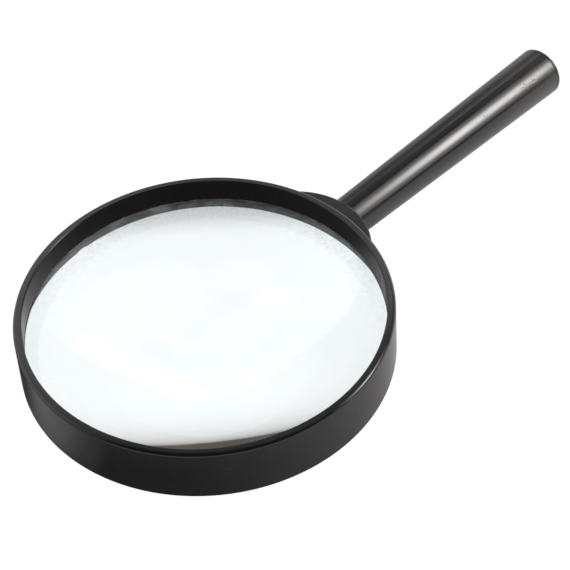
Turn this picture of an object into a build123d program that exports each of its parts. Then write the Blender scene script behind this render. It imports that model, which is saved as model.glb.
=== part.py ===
from build123d import *
from math import sqrt
import os

# A round hand magnifier lying flat.
# Origin: centre of the lens ring, on the plane it rests on.
# +X runs along the handle, +Z runs up along the lens axis. Millimetres.

# lens: biconvex glass with equal faces
lens_diameter = 100.0
lens_edge_thickness = 2.5
lens_surface_radius = 201.0
lens_bevel = 0.25

# lens frame: the ring around the lens
ring_height = 16.6
ring_top_radius = 51.65
ring_bottom_radius = 51.8
ring_opening_radius = 49.35
ring_top_fall = 0.1
ring_outer_edge_round = 1.0
ring_inner_edge_round = 0.35
ring_foot_round = 0.4
ring_mouth_chamfer = 0.2
pocket_gap = 0.1
seat_gap = 0.05

# retaining ring under the lens, held by a fine thread
thread_radius = 50.3
thread_gap = 0.05
thread_pitch = 0.9
thread_turns = 3
mouth_relief = 0.25
retainer_inner_radius = 49.1
retainer_height = 5.4
retainer_edge_chamfer = 0.2
spanner_notch_width = 3.0
spanner_notch_depth = 1.1
spanner_notch_count = 2

# shoulder: the crescent block between the ring and the handle
shoulder_height = 12.4
shoulder_reach = 56.3
shoulder_arc_radius = 22.0
shoulder_base_radius = 51.2
shoulder_blend_radius = 8.0
shoulder_edge_round = 0.5

# spigot: ribbed peg on the shoulder that the handle pushes onto
spigot_end = 76.0
spigot_core_radius = 3.55
spigot_rib_radius = 4.16
spigot_rib_width = 0.9
spigot_rib_count = 6
spigot_nose_chamfer = 0.8

# handle: slim hollow cone, thicker towards the butt
handle_end = 144.5
handle_root_radius = 6.13
handle_butt_radius = 7.6
handle_wall = 1.7
handle_mouth_gap = 0.05
handle_mouth_overlap = 1.5
socket_end = 78.0
socket_gap = 0.04
socket_step = 1.5

# end cap: plug in the butt of the handle
cap_flange_thickness = 1.4
cap_edge_round = 1.0
cap_plug_length = 7.0
cap_plug_wall = 1.2
cap_press = 0.02
cap_seam_chamfer = 0.12

# places in the ring, worked out from the sizes above
lens_radius = lens_diameter / 2
mid_height = ring_height / 2
handle_axis = Axis((0, 0, mid_height), (1, 0, 0))
mouth_radius = thread_radius + mouth_relief
close = 0.01


def lens_face_height(radius):
    """Height of the lens's upper face above its middle plane, at a radius."""
    face_drop = sqrt(lens_surface_radius**2 - radius**2)
    rim_drop = sqrt(lens_surface_radius**2 - lens_radius**2)
    return lens_edge_thickness / 2 + face_drop - rim_drop


def handle_radius(x):
    """Outer radius of the handle at a place along it."""
    taper = (handle_butt_radius - handle_root_radius) / (handle_end - shoulder_reach)
    return handle_root_radius + taper * (x - shoulder_reach)


# heights that the lens sets inside the ring, and places along the handle
ledge_height = mid_height + lens_face_height(ring_opening_radius) + seat_gap
retainer_top = mid_height - lens_face_height(retainer_inner_radius) - seat_gap
retainer_bottom = retainer_top - retainer_height
thread_bottom = retainer_top - thread_pitch * thread_turns
handle_start = shoulder_reach - handle_mouth_overlap
socket_radius = spigot_rib_radius + socket_gap
cap_seam = handle_end - cap_flange_thickness
cap_plug_start = cap_seam - cap_plug_length
cap_bore_radius = handle_radius(cap_plug_start) - handle_wall


def turned(points, axis):
    """Solid of revolution whose outline joins points in the XZ plane."""
    outline = make_face(Polyline(*points, close=True))
    return revolve(Plane.XZ * outline, axis)


def level_circles(solid, height):
    """The round edges of a solid that lie level at a height."""
    edges = solid.edges().filter_by(GeomType.CIRCLE).group_by(Axis.Z)
    level = min(edges, key=lambda group: abs(group[0].center().Z - height))
    return [e for e in level if e.bounding_box().size.Z < close]


def make_lens():
    """Biconvex disc with a ground rim and a small bevel at each face."""
    bevel_radius = lens_radius - lens_bevel
    upper_face = ThreePointArc(
        (0, lens_face_height(0)),
        (bevel_radius / 2, lens_face_height(bevel_radius / 2)),
        (bevel_radius, lens_face_height(bevel_radius)),
    )
    lower_face = mirror(upper_face, Plane.XZ)
    rim_half = lens_edge_thickness / 2 - lens_bevel
    rim = Polyline(upper_face @ 1, (lens_radius, rim_half), (lens_radius, -rim_half), lower_face @ 1)
    middle = Line(lower_face @ 0, upper_face @ 0)
    outline = make_face(Curve() + [upper_face, rim, lower_face, middle])
    return Pos(0, 0, mid_height) * revolve(Plane.XZ * outline, Axis.Z)


def make_ring_blank():
    """Solid disc with the outside of the ring, before it is hollowed out."""
    outer_edge_height = ring_height - ring_top_fall
    blank = turned(
        [
            (0, 0),
            (ring_bottom_radius, 0),
            (ring_top_radius, outer_edge_height),
            (ring_opening_radius, ring_height),
            (0, ring_height),
        ],
        Axis.Z,
    )
    blank = fillet(level_circles(blank, outer_edge_height), ring_outer_edge_round)
    return fillet(level_circles(blank, 0), ring_foot_round)


def make_shoulder():
    """Slab that reaches under the ring and swells out of it as a crescent, blended on both sides."""
    arc_centre = shoulder_reach - shoulder_arc_radius
    plan = Circle(shoulder_base_radius) + Pos(arc_centre, 0) * Circle(shoulder_arc_radius)
    plan = fillet(plan.vertices().filter_by(lambda v: v.X > arc_centre), shoulder_blend_radius)
    slab = extrude(plan, shoulder_height / 2, both=True)
    slab = fillet(slab.faces().filter_by(Axis.Z).edges(), shoulder_edge_round)
    return Pos(0, 0, mid_height) * slab


def make_spigot():
    """Peg with lengthwise ribs and a chamfered nose, standing out of the shoulder."""
    length = spigot_end - shoulder_base_radius
    rib = Pos(spigot_rib_radius / 2, 0) * Rectangle(spigot_rib_radius, spigot_rib_width)
    section = Circle(spigot_core_radius) + PolarLocations(0, spigot_rib_count) * rib
    peg = extrude(section & Circle(spigot_rib_radius), length)
    nose = Cone(
        spigot_rib_radius + length,
        spigot_rib_radius - spigot_nose_chamfer,
        spigot_nose_chamfer + length,
        align=(Align.CENTER, Align.CENTER, Align.MAX),
    )
    peg &= Pos(0, 0, length) * nose
    return Pos(shoulder_base_radius, 0, mid_height) * Rot(0, 90, 0) * peg


def make_ring_hollow():
    """What is cut out of the ring: opening, lens pocket, thread bore and mouth, from the top."""
    pocket_radius = lens_radius + pocket_gap
    return turned(
        [
            (0, ring_height),
            (ring_opening_radius, ring_height),
            (ring_opening_radius, ledge_height),
            (pocket_radius, ledge_height),
            (pocket_radius, retainer_top),
            (thread_radius, retainer_top),
            (thread_radius, thread_bottom),
            (mouth_radius, thread_bottom),
            (mouth_radius, 0),
            (0, 0),
        ],
        Axis.Z,
    )


def make_lens_frame():
    """Ring, shoulder and spigot, moulded in one piece."""
    frame = make_ring_blank() + make_shoulder() + make_spigot()
    frame -= make_ring_hollow()
    opening_edge = [e for e in level_circles(frame, ring_height) if e.radius < ring_opening_radius + close]
    frame = fillet(opening_edge, ring_inner_edge_round)
    mouth_edge = [e for e in level_circles(frame, 0) if e.radius < mouth_radius + close]
    return chamfer(mouth_edge, ring_mouth_chamfer)


def make_retaining_ring():
    """Flat ring under the lens, with notches for a spanner in its lower face."""
    outer_radius = thread_radius - thread_gap
    ring = turned(
        [
            (outer_radius, retainer_bottom),
            (outer_radius, retainer_top),
            (retainer_inner_radius, retainer_top),
            (retainer_inner_radius, retainer_bottom),
        ],
        Axis.Z,
    )
    ring = chamfer(level_circles(ring, retainer_bottom), retainer_edge_chamfer)
    notch = Box(spanner_notch_width, spanner_notch_width, spanner_notch_depth)
    notch = Pos(outer_radius, 0, retainer_bottom + spanner_notch_depth / 2) * notch
    for turn in range(spanner_notch_count):
        ring -= Rot(0, 0, 90 + turn * 360 / spanner_notch_count) * notch
    return ring


def make_handle():
    """Tapered tube: a socket for the spigot, then a bore that follows the outside."""
    bore_start = socket_end + socket_step
    tube = turned(
        [
            (handle_start, mid_height + socket_radius),
            (handle_start, mid_height + handle_radius(handle_start)),
            (cap_seam - cap_seam_chamfer, mid_height + handle_radius(cap_seam)),
            (cap_seam, mid_height + handle_radius(cap_seam) - cap_seam_chamfer),
            (cap_seam, mid_height + cap_bore_radius),
            (cap_plug_start, mid_height + cap_bore_radius),
            (bore_start, mid_height + handle_radius(bore_start) - handle_wall),
            (socket_end, mid_height + socket_radius),
        ],
        handle_axis,
    )
    saddle = Cylinder(shoulder_arc_radius + handle_mouth_gap, ring_height)
    return tube - Pos(shoulder_reach - shoulder_arc_radius, 0, mid_height) * saddle


def make_end_cap():
    """Plug pressed into the butt, with a flange that carries on the handle's outline."""
    flange_radius = handle_radius(cap_seam)
    plug_radius = cap_bore_radius + cap_press
    cup_radius = plug_radius - cap_plug_wall
    cap = turned(
        [
            (cap_plug_start, mid_height + cup_radius),
            (cap_plug_start, mid_height + plug_radius),
            (cap_seam, mid_height + plug_radius),
            (cap_seam, mid_height + flange_radius - cap_seam_chamfer),
            (cap_seam + cap_seam_chamfer, mid_height + flange_radius),
            (handle_end, mid_height + flange_radius),
            (handle_end, mid_height),
            (cap_seam, mid_height),
            (cap_seam, mid_height + cup_radius),
        ],
        handle_axis,
    )
    butt_edge = cap.edges().filter_by(GeomType.CIRCLE).sort_by(Axis.X)[-1]
    return fillet(butt_edge, cap_edge_round)


nodes = {
    "lens_frame": make_lens_frame(),
    "lens": make_lens(),
    "lens_retaining_ring": make_retaining_ring(),
    "handle": make_handle(),
    "handle_end_cap": make_end_cap(),
}

os.makedirs("parts", exist_ok=True)
for name, solid in nodes.items():
    export_step(solid, os.path.join("parts", name + ".step"))
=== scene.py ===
import bpy
import bmesh
import math
from mathutils import Matrix, Vector


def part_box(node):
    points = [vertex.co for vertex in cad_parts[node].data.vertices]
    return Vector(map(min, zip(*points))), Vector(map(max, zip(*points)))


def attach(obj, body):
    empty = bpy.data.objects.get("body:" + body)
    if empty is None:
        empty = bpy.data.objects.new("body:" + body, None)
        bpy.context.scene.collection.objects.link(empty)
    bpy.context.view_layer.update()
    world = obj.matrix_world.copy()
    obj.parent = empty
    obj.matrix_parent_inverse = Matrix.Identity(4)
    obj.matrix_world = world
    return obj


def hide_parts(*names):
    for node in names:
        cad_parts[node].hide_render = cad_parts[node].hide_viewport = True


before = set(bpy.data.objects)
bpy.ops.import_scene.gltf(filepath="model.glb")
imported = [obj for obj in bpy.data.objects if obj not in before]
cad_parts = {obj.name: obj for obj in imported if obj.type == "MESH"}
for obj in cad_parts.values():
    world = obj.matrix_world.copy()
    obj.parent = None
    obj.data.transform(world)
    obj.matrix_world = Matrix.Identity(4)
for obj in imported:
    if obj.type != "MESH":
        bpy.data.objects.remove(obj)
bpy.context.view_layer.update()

# Sizes are in millimetres, as in the design, and meshes are scaled to metres as they are made.
MM = 0.001
TURN_STEPS = 240
ROUND_STEPS = 8
LENS_STEPS = 72
FRONT_STEPS = 64
BACK_STEPS = 48
BLEND_STEPS = 12
VALLEY_STEPS = 8
BARREL_STEPS = 32
ON_AXIS = 1e-6
CLOSE = 0.01
# in metres, unlike the lengths above
MERGE_DISTANCE = 1e-6
# edges sharper than this stay sharp
CREASE_DEG = 28


def span(node, axis):
    """Lowest and highest place of a CAD node along an axis, in millimetres."""
    low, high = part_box(node)
    return low[axis] / MM, high[axis] / MM


# sizes taken from the frame
lens_low, lens_high = span("lens", 2)
lens_radius = (span("lens", 0)[1] - span("lens", 0)[0]) / 2
retainer_bottom, retainer_top = span("lens_retaining_ring", 2)
retainer_outer_radius = span("lens_retaining_ring", 0)[1]
ring_bottom_radius = -span("lens_frame", 0)[0]
spigot_end = span("lens_frame", 0)[1]
handle_end = span("handle_end_cap", 0)[1]
cap_plug_start = span("handle_end_cap", 0)[0]
cap_seam = span("handle", 0)[1]
butt_radius = (span("handle", 2)[1] - span("handle", 2)[0]) / 2
mid_height = (lens_low + lens_high) / 2

# sizes that the design gives
lens_edge_thickness = 2.5
lens_bevel = 0.25
ring_height = 2 * mid_height
ring_top_radius = 51.65
ring_top_fall = 0.1
ring_opening_radius = 49.35
ring_outer_round = 1.0
ring_inner_round = 0.35
ring_foot_round = 0.4
thread_radius = 50.3
mouth_radius = 50.55
mouth_chamfer = 0.2
pocket_radius = 50.1
seat_gap = 0.05
thread_length = 2.7
retainer_inner_radius = 49.1
retainer_chamfer = 0.2
notch_width = 3.0
notch_depth = 1.1
shoulder_half_height = 6.2
shoulder_reach = 56.3
shoulder_arc_radius = 22.0
shoulder_base_radius = 51.2
shoulder_blend_radius = 8.0
shoulder_edge_round = 0.5
shoulder_back_inset = 0.6
spigot_core_radius = 3.55
spigot_rib_radius = 4.16
spigot_rib_half_width = 0.45
spigot_rib_count = 6
spigot_nose = 0.8
spigot_root_depth = 3
handle_root_radius = 6.13
handle_wall = 1.7
handle_mouth_overlap = 1.5
handle_mouth_gap = 0.05
socket_radius = 4.2
socket_end = 78.0
socket_step = 1.5
seam_chamfer = 0.12
cap_edge_round = 1.0
cap_plug_wall = 1.2
cap_press = 0.02

# the lens's faces are equal parts of a ball whose size follows from the lens's thickness
face_rise = (lens_high - lens_low - lens_edge_thickness) / 2
face_ball_radius = (lens_radius**2 + face_rise**2) / (2 * face_rise)


def lens_face_height(radius):
    """Height of the lens's upper face above its middle plane, at a radius."""
    face_drop = math.sqrt(face_ball_radius**2 - radius**2)
    rim_drop = math.sqrt(face_ball_radius**2 - lens_radius**2)
    return lens_edge_thickness / 2 + face_drop - rim_drop


def handle_radius(x):
    """Outer radius of the handle at a place along it."""
    rise = (butt_radius - handle_root_radius) * (x - shoulder_reach)
    return handle_root_radius + rise / (cap_seam - shoulder_reach)


# ---------------------------------------------------------------- mesh helpers
def rounded(corners):
    """Outline through (x, y) or (x, y, rounding) corners, with each rounding drawn as an arc."""
    points = []
    for i, corner in enumerate(corners):
        here = Vector(corner[:2])
        if len(corner) == 2:
            points.append(here)
            continue
        before = (Vector(corners[i - 1][:2]) - here).normalized()
        after = (Vector(corners[(i + 1) % len(corners)][:2]) - here).normalized()
        half = before.angle(after) / 2
        centre = here + (before + after).normalized() * corner[2] / math.sin(half)
        reach = corner[2] / math.tan(half)
        start, end = here + before * reach - centre, here + after * reach - centre
        sweep = start.angle(end)
        for step in range(ROUND_STEPS + 1):
            t = step / ROUND_STEPS
            arc = start * math.sin((1 - t) * sweep) + end * math.sin(t * sweep)
            points.append(centre + arc / math.sin(sweep))
    return points


def arc_points(centre, radius, start_deg, end_deg, steps):
    """Points on a level arc, both ends included."""
    angles = [math.radians(start_deg + (end_deg - start_deg) * s / steps) for s in range(steps + 1)]
    return [Vector((centre[0] + radius * math.cos(a), centre[1] + radius * math.sin(a))) for a in angles]


def on_z(radius, place, angle):
    """Point at an angle round the lens axis; place is its height."""
    return (radius * math.cos(angle), radius * math.sin(angle), place)


def on_handle(radius, place, angle):
    """Point at an angle round the handle's axis; place is its distance along +X."""
    return (place, radius * math.cos(angle), mid_height + radius * math.sin(angle))


def turned(outline, where=on_z, closed=True):
    """Solid turned from (radius, place) points; an open outline starts and ends on the axis."""
    bm = bmesh.new()
    rings = []
    for radius, place in outline:
        if radius < ON_AXIS:
            rings.append([bm.verts.new(where(0, place, 0))] * TURN_STEPS)
        else:
            angles = [math.tau * i / TURN_STEPS for i in range(TURN_STEPS)]
            rings.append([bm.verts.new(where(radius, place, a)) for a in angles])
    for low, high in zip(rings, rings[1:] + (rings[:1] if closed else [])):
        for i in range(TURN_STEPS):
            j = (i + 1) % TURN_STEPS
            bm.faces.new(list(dict.fromkeys((low[i], low[j], high[j], high[i]))))
    return bm


def stacked(loops):
    """Solid through a stack of loops of equally many points, with a flat face at each end."""
    bm = bmesh.new()
    rows = [[bm.verts.new(p) for p in loop] for loop in loops]
    for low, high in zip(rows, rows[1:]):
        for i in range(len(low)):
            j = (i + 1) % len(low)
            bm.faces.new((low[i], low[j], high[j], high[i]))
    bm.faces.new(rows[0])
    bm.faces.new(rows[-1])
    return bm


def to_object(name, bm):
    """Object in metres from a mesh in millimetres, with its faces turned outwards."""
    bmesh.ops.recalc_face_normals(bm, faces=bm.faces)
    bmesh.ops.scale(bm, vec=(MM, MM, MM), verts=bm.verts)
    mesh = bpy.data.meshes.new(name)
    bm.to_mesh(mesh)
    bm.free()
    obj = bpy.data.objects.new(name, mesh)
    bpy.context.scene.collection.objects.link(obj)
    return obj


def combined(obj, other, operation):
    """Joins or cuts obj with other, clears the joint of slivers, and removes other."""
    step = obj.modifiers.new(operation, "BOOLEAN")
    step.operation, step.object, step.solver = operation, other, "EXACT"
    depsgraph = bpy.context.evaluated_depsgraph_get()
    mesh = bpy.data.meshes.new_from_object(obj.evaluated_get(depsgraph), depsgraph=depsgraph)
    obj.modifiers.clear()
    bm = bmesh.new()
    bm.from_mesh(mesh)
    bmesh.ops.remove_doubles(bm, verts=bm.verts, dist=MERGE_DISTANCE)
    bmesh.ops.dissolve_degenerate(bm, dist=MERGE_DISTANCE, edges=bm.edges)
    bm.to_mesh(mesh)
    bm.free()
    obj.data = mesh
    bpy.data.objects.remove(other)
    return obj


def stand_in(obj, node, body, material):
    """Makes obj the visible piece of a CAD node: smooth rounds, true flats, its body and finish."""
    obj.data.materials.clear()
    obj.data.materials.append(material)
    obj.data.shade_smooth()
    obj.data.set_sharp_from_angle(angle=math.radians(CREASE_DEG))
    flats = obj.modifiers.new("flats", "WEIGHTED_NORMAL")
    flats.keep_sharp = True
    flats.weight = 100
    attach(obj, body)
    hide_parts(node)
    return obj


# ---------------------------------------------------------------- meshes
def lens_mesh():
    """Biconvex disc with a ground rim and a small bevel at each face."""
    bevel_radius = lens_radius - lens_bevel
    radii = [bevel_radius * i / LENS_STEPS for i in range(LENS_STEPS + 1)]
    rim_half = lens_edge_thickness / 2 - lens_bevel
    upper = [(r, mid_height + lens_face_height(r)) for r in radii]
    rim = [(lens_radius, mid_height + rim_half), (lens_radius, mid_height - rim_half)]
    lower = [(r, mid_height - lens_face_height(r)) for r in reversed(radii)]
    return to_object("lens_glass", turned(upper + rim + lower, closed=False))


def ring_mesh():
    """The lens ring: drafted wall, rounded rim, ledge, pocket, thread bore and mouth."""
    ledge = mid_height + lens_face_height(ring_opening_radius) + seat_gap
    thread_bottom = retainer_top - thread_length
    return to_object("ring", turned(rounded([
        (mouth_radius + mouth_chamfer, 0),
        (ring_bottom_radius, 0, ring_foot_round),
        (ring_top_radius, ring_height - ring_top_fall, ring_outer_round),
        (ring_opening_radius, ring_height, ring_inner_round),
        (ring_opening_radius, ledge),
        (pocket_radius, ledge),
        (pocket_radius, retainer_top),
        (thread_radius, retainer_top),
        (thread_radius, thread_bottom),
        (mouth_radius, thread_bottom),
        (mouth_radius, mouth_chamfer),
    ])))


def shoulder_outline(inset):
    """The crescent from above, drawn in by inset: round front, blends, and a back inside the ring."""
    arc_centre = shoulder_reach - shoulder_arc_radius
    ring_reach = shoulder_base_radius + shoulder_blend_radius
    arc_reach = shoulder_arc_radius + shoulder_blend_radius
    blend_x = (ring_reach**2 - arc_reach**2 + arc_centre**2) / (2 * arc_centre)
    blend_y = math.sqrt(ring_reach**2 - blend_x**2)
    ring_deg = math.degrees(math.atan2(blend_y, blend_x))
    arc_deg = math.degrees(math.atan2(blend_y, blend_x - arc_centre))
    blend_radius = shoulder_blend_radius + inset
    back_radius = shoulder_base_radius - shoulder_back_inset
    right = arc_points((blend_x, -blend_y), blend_radius, 180 - ring_deg, 180 - arc_deg, BLEND_STEPS)
    front = arc_points((arc_centre, 0), shoulder_arc_radius - inset, -arc_deg, arc_deg, FRONT_STEPS)
    left = arc_points((blend_x, blend_y), blend_radius, 180 + arc_deg, 180 + ring_deg, BLEND_STEPS)
    back = arc_points((0, 0), back_radius, ring_deg, -ring_deg, BACK_STEPS)
    return right + front[1:-1] + left + back


def shoulder_mesh():
    """Crescent block with rounded upper and lower edges."""
    lower = []
    for step in range(ROUND_STEPS + 1):
        angle = math.pi / 2 * step / ROUND_STEPS
        inset = shoulder_edge_round * (1 - math.sin(angle))
        height = shoulder_half_height - shoulder_edge_round * (1 - math.cos(angle))
        lower.append((inset, -height))
    levels = lower + [(inset, -height) for inset, height in reversed(lower)]
    return to_object("shoulder", stacked([
        [(p.x, p.y, mid_height + height) for p in shoulder_outline(inset)] for inset, height in levels
    ]))


def spigot_mesh():
    """Peg with lengthwise ribs and a chamfered nose."""
    section = []
    pitch = 360 / spigot_rib_count
    rib_deg = math.degrees(math.asin(spigot_rib_half_width / spigot_rib_radius))
    foot_deg = math.degrees(math.asin(spigot_rib_half_width / spigot_core_radius))
    for rib in range(spigot_rib_count):
        top = [(spigot_rib_radius, rib * pitch + rib_deg * side) for side in (-1, -0.5, 0, 0.5, 1)]
        valley = [
            (spigot_core_radius, rib * pitch + foot_deg + (pitch - 2 * foot_deg) * s / VALLEY_STEPS)
            for s in range(VALLEY_STEPS + 1)
        ]
        section += top + valley

    def loop(x, limit):
        return [on_handle(min(r, limit), x, math.radians(a)) for r, a in section]

    tip_radius = spigot_rib_radius - spigot_nose
    return to_object("spigot", stacked([
        loop(shoulder_reach - spigot_root_depth, spigot_rib_radius),
        loop(spigot_end - spigot_nose, spigot_rib_radius),
        loop(spigot_end - spigot_core_radius + tip_radius, spigot_core_radius),
        loop(spigot_end, tip_radius),
    ]))


def lens_frame_mesh():
    """Ring, shoulder and spigot as one moulding."""
    moulding = combined(ring_mesh(), shoulder_mesh(), "UNION")
    moulding = combined(moulding, spigot_mesh(), "UNION")
    moulding.name = "ring_and_shoulder"
    return moulding


def retaining_ring_mesh():
    """Flat ring under the lens, with two spanner notches in its lower face."""
    ring = to_object("retaining_ring", turned([
        (retainer_inner_radius + retainer_chamfer, retainer_bottom),
        (retainer_outer_radius - retainer_chamfer, retainer_bottom),
        (retainer_outer_radius, retainer_bottom + retainer_chamfer),
        (retainer_outer_radius, retainer_top),
        (retainer_inner_radius, retainer_top),
        (retainer_inner_radius, retainer_bottom + retainer_chamfer),
    ]))
    half = notch_width / 2
    for side in (-1, 1):
        middle = side * retainer_outer_radius
        near, far = middle - half, middle + half
        plan = [(-half, near), (half, near), (half, far), (-half, far)]
        levels = (retainer_bottom - half, retainer_bottom + notch_depth)
        cutter = to_object("notch", stacked([[(x, y, z) for x, y in plan] for z in levels]))
        ring = combined(ring, cutter, "DIFFERENCE")
    return ring


def handle_mesh():
    """Tapered tube whose mouth is cut to sit on the round front of the shoulder."""
    start = shoulder_reach - handle_mouth_overlap
    bore_start = socket_end + socket_step
    plug_bore = handle_radius(cap_plug_start) - handle_wall
    length = cap_seam - seam_chamfer - start
    barrel = [start + length * i / BARREL_STEPS for i in range(BARREL_STEPS + 1)]
    bm = turned([(socket_radius, start)] + [(handle_radius(x), x) for x in barrel] + [
        (handle_radius(cap_seam) - seam_chamfer, cap_seam),
        (plug_bore, cap_seam),
        (plug_bore, cap_plug_start),
        (handle_radius(bore_start) - handle_wall, bore_start),
        (socket_radius, socket_end),
    ], on_handle)
    arc_centre = shoulder_reach - shoulder_arc_radius
    for v in bm.verts:
        if v.co.x < start + CLOSE:
            v.co.x = arc_centre + math.sqrt((shoulder_arc_radius + handle_mouth_gap) ** 2 - v.co.y**2)
    return to_object("handle_tube", bm)


def end_cap_mesh():
    """Plug with a domed-edge flange that closes the butt."""
    flange = handle_radius(cap_seam)
    plug = handle_radius(cap_plug_start) - handle_wall + cap_press
    outline = rounded([
        (0, cap_seam),
        (plug - cap_plug_wall, cap_seam),
        (plug - cap_plug_wall, cap_plug_start),
        (plug, cap_plug_start),
        (plug, cap_seam),
        (flange - seam_chamfer, cap_seam),
        (flange, cap_seam + seam_chamfer),
        (flange, handle_end, cap_edge_round),
        (0, handle_end),
    ])
    return to_object("end_cap", turned(outline, on_handle, closed=False))


# ---------------------------------------------------------------- node helpers
def new_tree(mat):
    """Empties a material's node tree and returns the tree and its output node."""
    mat.use_nodes = True
    mat.node_tree.nodes.clear()
    return mat.node_tree, mat.node_tree.nodes.new("ShaderNodeOutputMaterial")


def math_node(nt, operation, a, b=None):
    """Result of a math operation on numbers or sockets."""
    node = nt.nodes.new("ShaderNodeMath")
    node.operation = operation
    for socket, value in zip(node.inputs, (a, b)):
        if isinstance(value, (int, float)):
            socket.default_value = value
        elif value is not None:
            nt.links.new(value, socket)
    return node.outputs[0]


def plus(nt, *values):
    """Sum of numbers and sockets."""
    total = values[0]
    for value in values[1:]:
        total = math_node(nt, "ADD", total, value)
    return total


def times(nt, *values):
    """Product of numbers and sockets."""
    total = values[0]
    for value in values[1:]:
        total = math_node(nt, "MULTIPLY", total, value)
    return total


def ramp(nt, source, low, high, out_low=0.0, out_high=1.0):
    """Maps source from low..high to out_low..out_high, smoothly and clamped."""
    node = nt.nodes.new("ShaderNodeMapRange")
    node.interpolation_type = "SMOOTHSTEP"
    names = ("From Min", "From Max", "To Min", "To Max")
    for name, value in zip(names, (low, high, out_low, out_high)):
        node.inputs[name].default_value = value
    nt.links.new(source, node.inputs["Value"])
    return node.outputs["Result"]


def noise(nt, vector, scale, detail, rough, distortion=0.0):
    """Smooth random pattern over a vector, about 0.5 in its middle."""
    node = nt.nodes.new("ShaderNodeTexNoise")
    names = ("Scale", "Detail", "Roughness", "Distortion")
    for name, value in zip(names, (scale, detail, rough, distortion)):
        node.inputs[name].default_value = value
    nt.links.new(vector, node.inputs["Vector"])
    return node.outputs["Fac"]


def stretched(nt, vector, scale, turn=(0, 0, 0)):
    """Vector turned, in degrees, and scaled along each axis."""
    node = nt.nodes.new("ShaderNodeMapping")
    node.inputs["Scale"].default_value = scale
    node.inputs["Rotation"].default_value = [math.radians(a) for a in turn]
    nt.links.new(vector, node.inputs["Vector"])
    return node.outputs["Vector"]


def dot(nt, vector, direction):
    """How far a vector reaches along a direction."""
    node = nt.nodes.new("ShaderNodeVectorMath")
    node.operation = "DOT_PRODUCT"
    nt.links.new(vector, node.inputs[0])
    node.inputs[1].default_value = direction
    return node.outputs["Value"]


def distance_from_axis(nt, place):
    """Distance of a place from the lens axis."""
    x, y = dot(nt, place, (1, 0, 0)), dot(nt, place, (0, 1, 0))
    return math_node(nt, "SQRT", plus(nt, times(nt, x, x), times(nt, y, y)))


def tint(nt, factor, a, b):
    """Colour that goes from a to b as factor goes from 0 to 1; a and b are colours or sockets."""
    node = nt.nodes.new("ShaderNodeMix")
    node.data_type = "RGBA"
    nt.links.new(factor, node.inputs[0])
    for socket, value in ((node.inputs[6], a), (node.inputs[7], b)):
        if isinstance(value, tuple):
            socket.default_value = (*value, 1)
        else:
            nt.links.new(value, socket)
    return node.outputs[2]


def mixed(nt, factor, a, b):
    """Shader that goes from a to b as factor goes from 0 to 1."""
    node = nt.nodes.new("ShaderNodeMixShader")
    if isinstance(factor, float):
        node.inputs[0].default_value = factor
    else:
        nt.links.new(factor, node.inputs[0])
    nt.links.new(a, node.inputs[1])
    nt.links.new(b, node.inputs[2])
    return node.outputs[0]


def glow(nt, strength, colour=(1, 1, 1)):
    """Light of its own, with a number or a socket as its strength."""
    node = nt.nodes.new("ShaderNodeEmission")
    node.inputs["Color"].default_value = (*colour, 1)
    if isinstance(strength, (int, float)):
        node.inputs["Strength"].default_value = strength
    else:
        nt.links.new(strength, node.inputs["Strength"])
    return node.outputs[0]


# ---------------------------------------------------------------- materials
# Inside materials, places are in metres from the origin, and colours are linear.
UP = (0, 0, 1)
ALONG_HANDLE = (1, 0, 0)
ACROSS_HANDLE = (0, 1, 0)
# level direction away from the camera
FAR_SIDE = (0.69, 0.72, 0)
# level direction towards the dustier part of the lens
DUSTY_SIDE = (0.78, 0.62, 0)
# level direction in which the floor beside the ring brightens
BRIGHT_SIDE = (0.94, -0.34, 0)
# the way the handle's surface faces at its scuffs
SCUFF_FACING = (0, -0.58, 0.81)
# a count of bounces above this is at least one
SOME_BOUNCE = 0.5

PLASTIC_BLACK = 0.0045
RETAINER_GREY = 0.075
PLASTIC_IOR = 1.5
PLASTIC_BUMP = 0.35
PLASTIC_BUMP_DISTANCE = 0.00002
DUST_COLOUR = (0.16, 0.155, 0.15)
SCRATCH_COLOUR = (0.06, 0.06, 0.06)
SCRATCH_SHARE = 0.35
SCUFF_COLOUR = (0.46, 0.43, 0.41)
SCUFF_SHARE = 0.8
SCUFF_SOFTNESS = 0.3
# colour the handle and cap take on towards the butt
LIGHTER_BUTT_COLOUR = (0.10, 0.088, 0.080)
LIGHTER_BUTT_AMOUNT = 0.3
# how much each detail roughens the surface
SCRATCH_ROUGHNESS = 0.12
SCUFF_ROUGHNESS = 0.25
LIGHTER_BUTT_ROUGHNESS = 0.30
HAZE_ROUGHNESS = 0.09
# heights of the surface's detail, as shares of the bump distance
GRAIN_HEIGHT = 0.15
RIPPLE_HEIGHT = 1.8
SCRATCH_HEIGHT = -0.8
SCUFF_HEIGHT = -2.0

GLASS_IOR = 1.512
GLASS_CENTRE = (0.984, 0.996, 1.0)
GLASS_SMEARED = (0.978, 0.994, 0.996)
# painted shade: the glass is tinted darker and a little greener near its far rim
GLASS_RIM_SHADE = (0.955, 0.988, 0.988)
GLASS_SHADOW = (0.96, 0.98, 0.98)
LENS_DUST_COLOUR = (0.70, 0.73, 0.73)
SPECK_SHARE = 0.10
# painted light: colour and share of a glow on the near edge of the lens
NEAR_EDGE_GLOW_COLOUR = (0.80, 0.62, 0.50)
NEAR_EDGE_GLOW_SHARE = 0.05
NEAR_EDGE_ROUGHNESS = 0.03

PAPER_WHITE = (0.82, 0.82, 0.82)
PAPER_GLOW = 1.06
PAPER_SHARE = 0.07
LENS_PAPER_SHARE = 0.03
LENS_FLOOR_COLOUR = (0.985, 1.0, 1.0)
# tint of the painted floor that reflections see
PAINTED_REFLECTION_TINT = (1.0, 0.965, 0.975)
OPEN_FLOOR_GLOW = 0.95
UNDER_RING_RADIUS = 0.050


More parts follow.
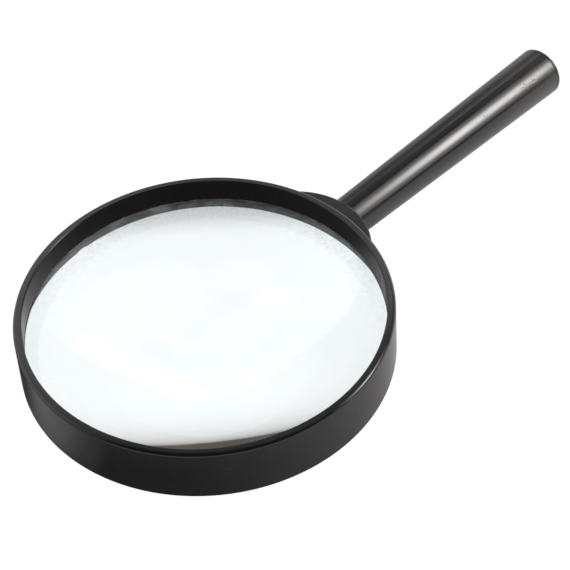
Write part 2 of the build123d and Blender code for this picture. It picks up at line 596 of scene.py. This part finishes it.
def stroke(nt, place, middle, along, length, width):
    """1 on a short straight mark on the surface and 0 away from it; its sizes are in millimetres."""
    along = Vector(along).normalized()
    across = along.cross(Vector(SCUFF_FACING)).normalized()
    middle = Vector(middle) * MM
    marks = []
    for axis, reach in ((along, length / 2), (across, width / 2)):
        offset = math_node(nt, "SUBTRACT", dot(nt, place, tuple(axis)), axis.dot(middle))
        offset = math_node(nt, "ABSOLUTE", offset)
        marks.append(ramp(nt, offset, reach * SCUFF_SOFTNESS * MM, reach * MM, 1.0, 0.0))
    above = ramp(nt, dot(nt, place, UP), mid_height * MM, (mid_height + 1) * MM)
    return times(nt, *marks, above)


def plastic(name, rough, base=PLASTIC_BLACK, marks=(), lighter_butt=0.0):
    """Black moulded plastic: ripple, haze, fine scratches, dust, small scuffs, and lighter and rougher
    towards the butt.
    """
    mat = bpy.data.materials.new(name)
    nt, out = new_tree(mat)
    place = nt.nodes.new("ShaderNodeTexCoord").outputs["Object"]
    haze = noise(nt, place, 55, 5, 0.6)
    grain = noise(nt, place, 1400, 3, 0.6)
    flow = noise(nt, stretched(nt, place, (70, 150, 150)), 1.0, 2, 0.5)
    lengthwise = noise(nt, stretched(nt, place, (50, 2600, 2600), (0, 0, 8)), 1.0, 2, 0.5)
    crosswise = noise(nt, stretched(nt, place, (2400, 90, 90), (0, 0, -25)), 1.0, 2, 0.5)
    scratches = plus(nt, ramp(nt, lengthwise, 0.69, 0.73), ramp(nt, crosswise, 0.73, 0.76))
    scratches = times(nt, scratches, ramp(nt, haze, 0.42, 0.62))
    dust = times(nt, ramp(nt, noise(nt, place, 1900, 1, 0.5), 0.78, 0.81), ramp(nt, haze, 0.35, 0.6))
    clean, hazed = (base, base, base * 1.06), (base * 1.9, base * 1.8, base * 1.8)
    colour = tint(nt, dust, tint(nt, ramp(nt, haze, 0.3, 0.7), clean, hazed), DUST_COLOUR)
    colour = tint(nt, times(nt, scratches, SCRATCH_SHARE), colour, SCRATCH_COLOUR)
    roughness = ramp(nt, haze, 0.3, 0.75, rough, rough + HAZE_ROUGHNESS)
    roughness = plus(nt, roughness, times(nt, scratches, SCRATCH_ROUGHNESS))
    height = plus(nt, times(nt, grain, GRAIN_HEIGHT), times(nt, flow, RIPPLE_HEIGHT))
    height = plus(nt, height, times(nt, scratches, SCRATCH_HEIGHT))
    if marks:
        scuffs = stroke(nt, place, *marks[0])
        for mark in marks[1:]:
            scuffs = math_node(nt, "MAXIMUM", scuffs, stroke(nt, place, *mark))
        scuffs = times(nt, scuffs, ramp(nt, noise(nt, place, 5200, 3, 0.7), 0.28, 0.52))
        colour = tint(nt, times(nt, scuffs, SCUFF_SHARE), colour, SCUFF_COLOUR)
        roughness = plus(nt, roughness, times(nt, scuffs, SCUFF_ROUGHNESS))
        height = plus(nt, height, times(nt, scuffs, SCUFF_HEIGHT))
    # lighter and rougher towards the butt of the handle
    if lighter_butt:
        butt = ramp(nt, dot(nt, place, ALONG_HANDLE), 0.112, 0.140)
        lighter_butt_share = times(nt, butt, ramp(nt, haze, 0.3, 0.7, 0.5 * lighter_butt, lighter_butt))
        colour = tint(nt, lighter_butt_share, colour, LIGHTER_BUTT_COLOUR)
        roughness = plus(nt, roughness, times(nt, lighter_butt_share, LIGHTER_BUTT_ROUGHNESS))
    bump = nt.nodes.new("ShaderNodeBump")
    bump.inputs["Strength"].default_value = PLASTIC_BUMP
    bump.inputs["Distance"].default_value = PLASTIC_BUMP_DISTANCE
    nt.links.new(height, bump.inputs["Height"])
    shader = nt.nodes.new("ShaderNodeBsdfPrincipled")
    shader.inputs["IOR"].default_value = PLASTIC_IOR
    nt.links.new(colour, shader.inputs["Base Color"])
    nt.links.new(roughness, shader.inputs["Roughness"])
    nt.links.new(bump.outputs["Normal"], shader.inputs["Normal"])
    nt.links.new(shader.outputs[0], out.inputs["Surface"])
    return mat


def glass():
    """Clear glass, dustier towards its rim and tinted darker and a little greener there as painted shade,
    most on the far side, with a painted brownish glow on its near edge.

    Light that has bounced off the plastic passes straight through, and so does lamplight.
    """
    mat = bpy.data.materials.new("clear_glass")
    nt, out = new_tree(mat)
    place = nt.nodes.new("ShaderNodeTexCoord").outputs["Object"]
    radius = distance_from_axis(nt, place)
    far_side = dot(nt, place, FAR_SIDE)
    # painted shade: the glass darkens towards its rim, most on the far side
    far_rim_shade = times(nt, ramp(nt, radius, 0.040, 0.0495), ramp(nt, far_side, -0.025, 0.025, 0.15, 1.0))
    smears = noise(nt, stretched(nt, place, (1, 1, 0.2)), 38, 5, 0.6, 0.6)
    mottle = noise(nt, stretched(nt, place, (1, 1, 0.2)), 260, 6, 0.75, 1.0)
    specks = ramp(nt, noise(nt, place, 1500, 1, 0.5), 0.76, 0.80)
    clear = nt.nodes.new("ShaderNodeBsdfGlass")
    clear.inputs["IOR"].default_value = GLASS_IOR
    near_edge = ramp(nt, far_side, -0.034, -0.041, 0.0, 1.0)
    nt.links.new(times(nt, near_edge, NEAR_EDGE_ROUGHNESS), clear.inputs["Roughness"])
    centre = tint(nt, ramp(nt, smears, 0.35, 0.75), GLASS_CENTRE, GLASS_SMEARED)
    nt.links.new(tint(nt, far_rim_shade, centre, GLASS_RIM_SHADE), clear.inputs["Color"])
    film = nt.nodes.new("ShaderNodeBsdfDiffuse")
    film.inputs["Color"].default_value = (*LENS_DUST_COLOUR, 1)
    dusty_side = ramp(nt, dot(nt, place, DUSTY_SIDE), -0.005, 0.040, 0.15, 1.0)
    dusty_rim = times(nt, ramp(nt, radius, 0.036, 0.0492), dusty_side)
    dusty_rim = times(nt, dusty_rim, ramp(nt, mottle, 0.38, 0.68, 0.0, 0.20))
    smeared = ramp(nt, smears, 0.5, 0.8, 0.0, 0.010)
    film_share = plus(nt, smeared, times(nt, specks, SPECK_SHARE), dusty_rim)
    surface = mixed(nt, film_share, clear.outputs[0], film.outputs[0])
    # painted light: a faint brownish glow on the near edge of the lens
    painted_near_glow = glow(nt, 1.0, NEAR_EDGE_GLOW_COLOUR)
    surface = mixed(nt, times(nt, near_edge, NEAR_EDGE_GLOW_SHARE), surface, painted_near_glow)
    through = nt.nodes.new("ShaderNodeBsdfTransparent")
    through.inputs["Color"].default_value = (*GLASS_SHADOW, 1)
    rays = nt.nodes.new("ShaderNodeLightPath").outputs
    bounced = math_node(nt, "GREATER_THAN", rays["Glossy Depth"], SOME_BOUNCE)
    outside = math_node(nt, "LESS_THAN", rays["Transmission Depth"], SOME_BOUNCE)
    lamplight = math_node(nt, "MAXIMUM", rays["Is Shadow Ray"], rays["Is Diffuse Ray"])
    straight = math_node(nt, "MAXIMUM", lamplight, times(nt, bounced, outside))
    nt.links.new(mixed(nt, straight, surface, through.outputs[0]), out.inputs["Surface"])
    return mat


def first_look(nt, rays):
    """1 for what the camera sees itself or through the lens, 0 for light that has bounced."""
    bounces = plus(nt, rays["Diffuse Depth"], rays["Glossy Depth"])
    return math_node(nt, "LESS_THAN", bounces, SOME_BOUNCE)


def painted_floor_reflection(nt, place):
    """Painted brightness of the floor in reflections: painted shade beside the ring, under the ring and
    under the handle, brighter further out.
    """
    x, y = dot(nt, place, ALONG_HANDLE), dot(nt, place, ACROSS_HANDLE)
    radius = distance_from_axis(nt, place)
    # painted shade: the floor beside the ring is dim, lighter on the right side and brighter at the left
    # end
    painted_shade_beside_ring = ramp(nt, dot(nt, place, BRIGHT_SIDE), -0.05, 0.03, 0.10, 0.43)
    left_end = times(nt, ramp(nt, x, -0.056, -0.046, 0.60, 0.0), ramp(nt, y, -0.014, 0.004))
    painted_shade_beside_ring = plus(nt, painted_shade_beside_ring, left_end)
    open_share = math_node(nt, "MAXIMUM", ramp(nt, radius, 0.054, 0.112), ramp(nt, x, 0.050, 0.076))
    beside_share = math_node(nt, "SUBTRACT", 1, open_share)
    floor_glow = plus(nt, times(nt, painted_shade_beside_ring, beside_share), times(nt, open_share, OPEN_FLOOR_GLOW))
    # painted shadow: dimmer right under the handle and behind it, brighter on the camera side
    painted_shadow_under_handle = ramp(nt, math_node(nt, "ABSOLUTE", y), 0.002, 0.007, 0.80, 1.0)
    outside = times(nt, floor_glow, ramp(nt, y, -0.018, -0.003, 1.27, 0.66), painted_shadow_under_handle)
    right_end = times(nt, ramp(nt, x, 0.034, 0.044), ramp(nt, y, -0.010, 0.004, 0.24, 0.0))
    # painted shade: the floor under the ring darkens towards +X, with painted light at its right end
    inside = plus(nt, ramp(nt, x, -0.036, 0.018, 0.72, 0.12), right_end)
    under_ring = math_node(nt, "LESS_THAN", radius, UNDER_RING_RADIUS)
    past_ring = math_node(nt, "SUBTRACT", 1, under_ring)
    return plus(nt, times(nt, under_ring, inside), times(nt, past_ring, outside))


def floor_material():
    """White studio paper, near its full brightness where the camera sees it, with painted shade and light
    where the lens shows it and a painted floor in reflections; see-through from below.
    """
    mat = bpy.data.materials.new("pale_floor")
    nt, out = new_tree(mat)
    mat.cycles.emission_sampling = "NONE"
    rays = nt.nodes.new("ShaderNodeLightPath").outputs
    through_lens = math_node(nt, "GREATER_THAN", rays["Transmission Depth"], SOME_BOUNCE)
    place = nt.nodes.new("ShaderNodeTexCoord").outputs["Object"]
    paper = nt.nodes.new("ShaderNodeBsdfDiffuse")
    paper.inputs["Color"].default_value = (*PAPER_WHITE, 1)
    far_side = dot(nt, place, FAR_SIDE)
    # painted shadow: seen through the lens, the floor darkens towards the far inner wall; painted light:
    # it brightens towards the near side
    painted_lens_floor = ramp(nt, far_side, 0.036, 0.049, PAPER_GLOW, 0.68)
    painted_lens_floor = plus(nt, painted_lens_floor, ramp(nt, far_side, -0.036, 0.0, 0.20, 0.0))
    under_lens = mixed(nt, LENS_PAPER_SHARE, glow(nt, painted_lens_floor, LENS_FLOOR_COLOUR), paper.outputs[0])
    bright = mixed(nt, PAPER_SHARE, glow(nt, PAPER_GLOW), paper.outputs[0])
    looked_at = mixed(nt, through_lens, bright, under_lens)
    # painted reflection: what reflections see of the floor is painted brightness, not lit paper
    bounced = glow(nt, painted_floor_reflection(nt, place), PAINTED_REFLECTION_TINT)
    surface = mixed(nt, first_look(nt, rays), bounced, looked_at)
    below = nt.nodes.new("ShaderNodeBsdfTransparent")
    side = nt.nodes.new("ShaderNodeNewGeometry").outputs["Backfacing"]
    nt.links.new(mixed(nt, side, surface, below.outputs[0]), out.inputs["Surface"])
    return mat


# ---------------------------------------------------------------- pieces
# middle in millimetres, direction, length and width in millimetres
handle_scuffs = (
    ((133.3, -5.3, 13.6), (1, -0.10, -0.08), 4.6, 0.75),
    ((134.4, -5.0, 13.8), (1, -0.30, -0.25), 3.0, 0.45),
    ((130.3, -4.5, 14.2), (1, -0.60, -0.48), 3.2, 0.32),
    ((129.4, -5.0, 13.8), (1, -0.18, -0.14), 3.4, 0.40),
)
frame_plastic = plastic("frame_plastic", 0.11)
retainer_plastic = plastic("retainer_plastic", 0.4, base=RETAINER_GREY)
handle_plastic = plastic("handle_plastic", 0.12, marks=handle_scuffs, lighter_butt=LIGHTER_BUTT_AMOUNT)
cap_plastic = plastic("cap_plastic", 0.13, lighter_butt=LIGHTER_BUTT_AMOUNT)
stand_in(lens_frame_mesh(), "lens_frame", "frame", frame_plastic)
stand_in(lens_mesh(), "lens", "lens", glass())
stand_in(retaining_ring_mesh(), "lens_retaining_ring", "retaining_ring", retainer_plastic)
stand_in(handle_mesh(), "handle", "handle", handle_plastic)
stand_in(end_cap_mesh(), "handle_end_cap", "handle", cap_plastic)

# ---------------------------------------------------------------- stage, light, camera
# From here on, lengths are in metres.
scene = bpy.context.scene
scene.view_settings.view_transform = "Standard"
scene.view_settings.look = "None"

floor_half = 2.0
floor_gap = 0.0001
mesh = bpy.data.meshes.new("floor")
corners = [(x * floor_half, y * floor_half, 0) for x, y in ((-1, -1), (1, -1), (1, 1), (-1, 1))]
mesh.from_pydata(corners, [], [(0, 1, 2, 3)])
floor = bpy.data.objects.new("floor", mesh)
scene.collection.objects.link(floor)
floor.location.z = -floor_gap
floor.data.materials.append(floor_material())

# areas of the room as they show in reflections: azimuth, elevation, core and edge, all in degrees
DARK_CAMERA_SIDE = (-133, 40, 28, 82)
DARK_OVERHEAD = (90, 68, 8, 24)
# the same with a brightness at the end
NEUTRAL_GLOWS = (
    (112, 28, 18, 48, 0.78),
    (61, 42, 4, 12, 0.8),
    (36, 44, 1, 4, 1.6),
    (43, 38.5, 2, 6, 0.45),
)
PINKISH_GLOWS = (
    (18, 20, 6, 20, 1.2),
    (33, 8, 6, 20, 0.8),
)
NEUTRAL = (1, 1, 1)
PINKISH = (1, 0.96, 0.99)


def toward(azimuth_deg, elevation_deg):
    """Direction with this azimuth from +X and this elevation."""
    a, e = math.radians(azimuth_deg), math.radians(elevation_deg)
    return (math.cos(a) * math.cos(e), math.sin(a) * math.cos(e), math.sin(e))


def patch(nt, way, azimuth_deg, elevation_deg, core_deg, edge_deg):
    """1 within core_deg of a direction, fading to 0 at edge_deg."""
    nearness = dot(nt, way, toward(azimuth_deg, elevation_deg))
    return ramp(nt, nearness, math.cos(math.radians(edge_deg)), math.cos(math.radians(core_deg)))


def studio(world):
    """Soft studio: white where the camera looks, and a pale horizon and soft areas in reflections."""
    world.use_nodes = True
    nt = world.node_tree
    nt.nodes.clear()
    way = nt.nodes.new("ShaderNodeTexCoord").outputs["Generated"]
    horizon = ramp(nt, dot(nt, way, UP), 0.12, 0.42, 0.80, 0.42)
    camera_side = ramp(nt, patch(nt, way, *DARK_CAMERA_SIDE), 0, 1, 1.0, 0.12)
    overhead = ramp(nt, patch(nt, way, *DARK_OVERHEAD), 0, 1, 1.0, 0.35)
    room = times(nt, horizon, camera_side, overhead)

    def glows(areas):
        return [times(nt, patch(nt, way, *area[:4]), area[4]) for area in areas]

    layers = []
    for strength, colour in (
        (plus(nt, room, *glows(NEUTRAL_GLOWS)), NEUTRAL),
        (plus(nt, *glows(PINKISH_GLOWS)), PINKISH),
    ):
        node = nt.nodes.new("ShaderNodeBackground")
        node.inputs["Color"].default_value = (*colour, 1)
        nt.links.new(strength, node.inputs["Strength"])
        layers.append(node.outputs[0])
    light = nt.nodes.new("ShaderNodeAddShader")
    for socket, layer in zip(light.inputs, layers):
        nt.links.new(layer, socket)
    backdrop = nt.nodes.new("ShaderNodeBackground")
    seen = first_look(nt, nt.nodes.new("ShaderNodeLightPath").outputs)
    out = nt.nodes.new("ShaderNodeOutputWorld")
    nt.links.new(mixed(nt, seen, light.outputs[0], backdrop.outputs[0]), out.inputs["Surface"])


scene.world = bpy.data.worlds.new("studio")
studio(scene.world)


def look_at(place, target, roll_deg):
    """World matrix of something at place that looks at target."""
    turn = (Vector(target) - Vector(place)).to_track_quat("-Z", "Y").to_matrix().to_4x4()
    return Matrix.Translation(place) @ turn @ Matrix.Rotation(math.radians(roll_deg), 4, "Z")


def softbox_material(core_radius, edge_radius, core_strength, halo_strength, colour):
    """Glow that is brightest in the middle, fades to the edge, and leaves the back see-through."""
    mat = bpy.data.materials.new("softbox")
    nt, out = new_tree(mat)
    radius = distance_from_axis(nt, nt.nodes.new("ShaderNodeTexCoord").outputs["Object"])
    core = ramp(nt, radius, core_radius * 0.1, core_radius, core_strength, 0.0)
    halo = ramp(nt, radius, core_radius * 0.5, edge_radius, halo_strength, 0.0)
    front = glow(nt, plus(nt, core, halo), colour)
    behind = nt.nodes.new("ShaderNodeBsdfTransparent")
    side = nt.nodes.new("ShaderNodeNewGeometry").outputs["Backfacing"]
    nt.links.new(mixed(nt, side, front, behind.outputs[0]), out.inputs["Surface"])
    return mat


def key_light(centre, target, roll_deg, width_share, edge_radius, material):
    """Oval softbox that shows only in reflections."""
    bm = bmesh.new()
    bmesh.ops.create_circle(bm, cap_ends=True, segments=48, radius=edge_radius)
    mesh = bpy.data.meshes.new("softbox")
    bm.to_mesh(mesh)
    bm.free()
    mesh.materials.append(material)
    softbox = bpy.data.objects.new("softbox", mesh)
    softbox.matrix_world = look_at(centre, target, roll_deg) @ Matrix.Rotation(math.pi, 4, "Y")
    softbox.matrix_world = softbox.matrix_world @ Matrix.Diagonal((width_share, 1, 1, 1))
    softbox.visible_camera = softbox.visible_transmission = False
    scene.collection.objects.link(softbox)


softbox_radius = 0.60
key_light(
    centre=(0.532, -0.412, 0.480),
    target=(0.10, -0.01, 0.01),
    roll_deg=-33.5,
    width_share=0.47,
    edge_radius=softbox_radius,
    material=softbox_material(0.275, softbox_radius, 16.6, 4.0, (1, 0.985, 0.965)),
)

camera_aim = Vector((0.025956, -0.004731, 0.008))
camera_way = Vector(toward(-133.274, 45.791))
camera_distance = 0.53952
camera_roll = -3.692
camera_data = bpy.data.cameras.new("camera")
camera_data.lens = 122.745
camera_data.sensor_width = 36.0
camera_data.clip_start, camera_data.clip_end = 0.01, 20
camera = bpy.data.objects.new("camera", camera_data)
scene.collection.objects.link(camera)
camera.matrix_world = look_at(camera_aim + camera_way * camera_distance, camera_aim, camera_roll)
scene.camera = camera
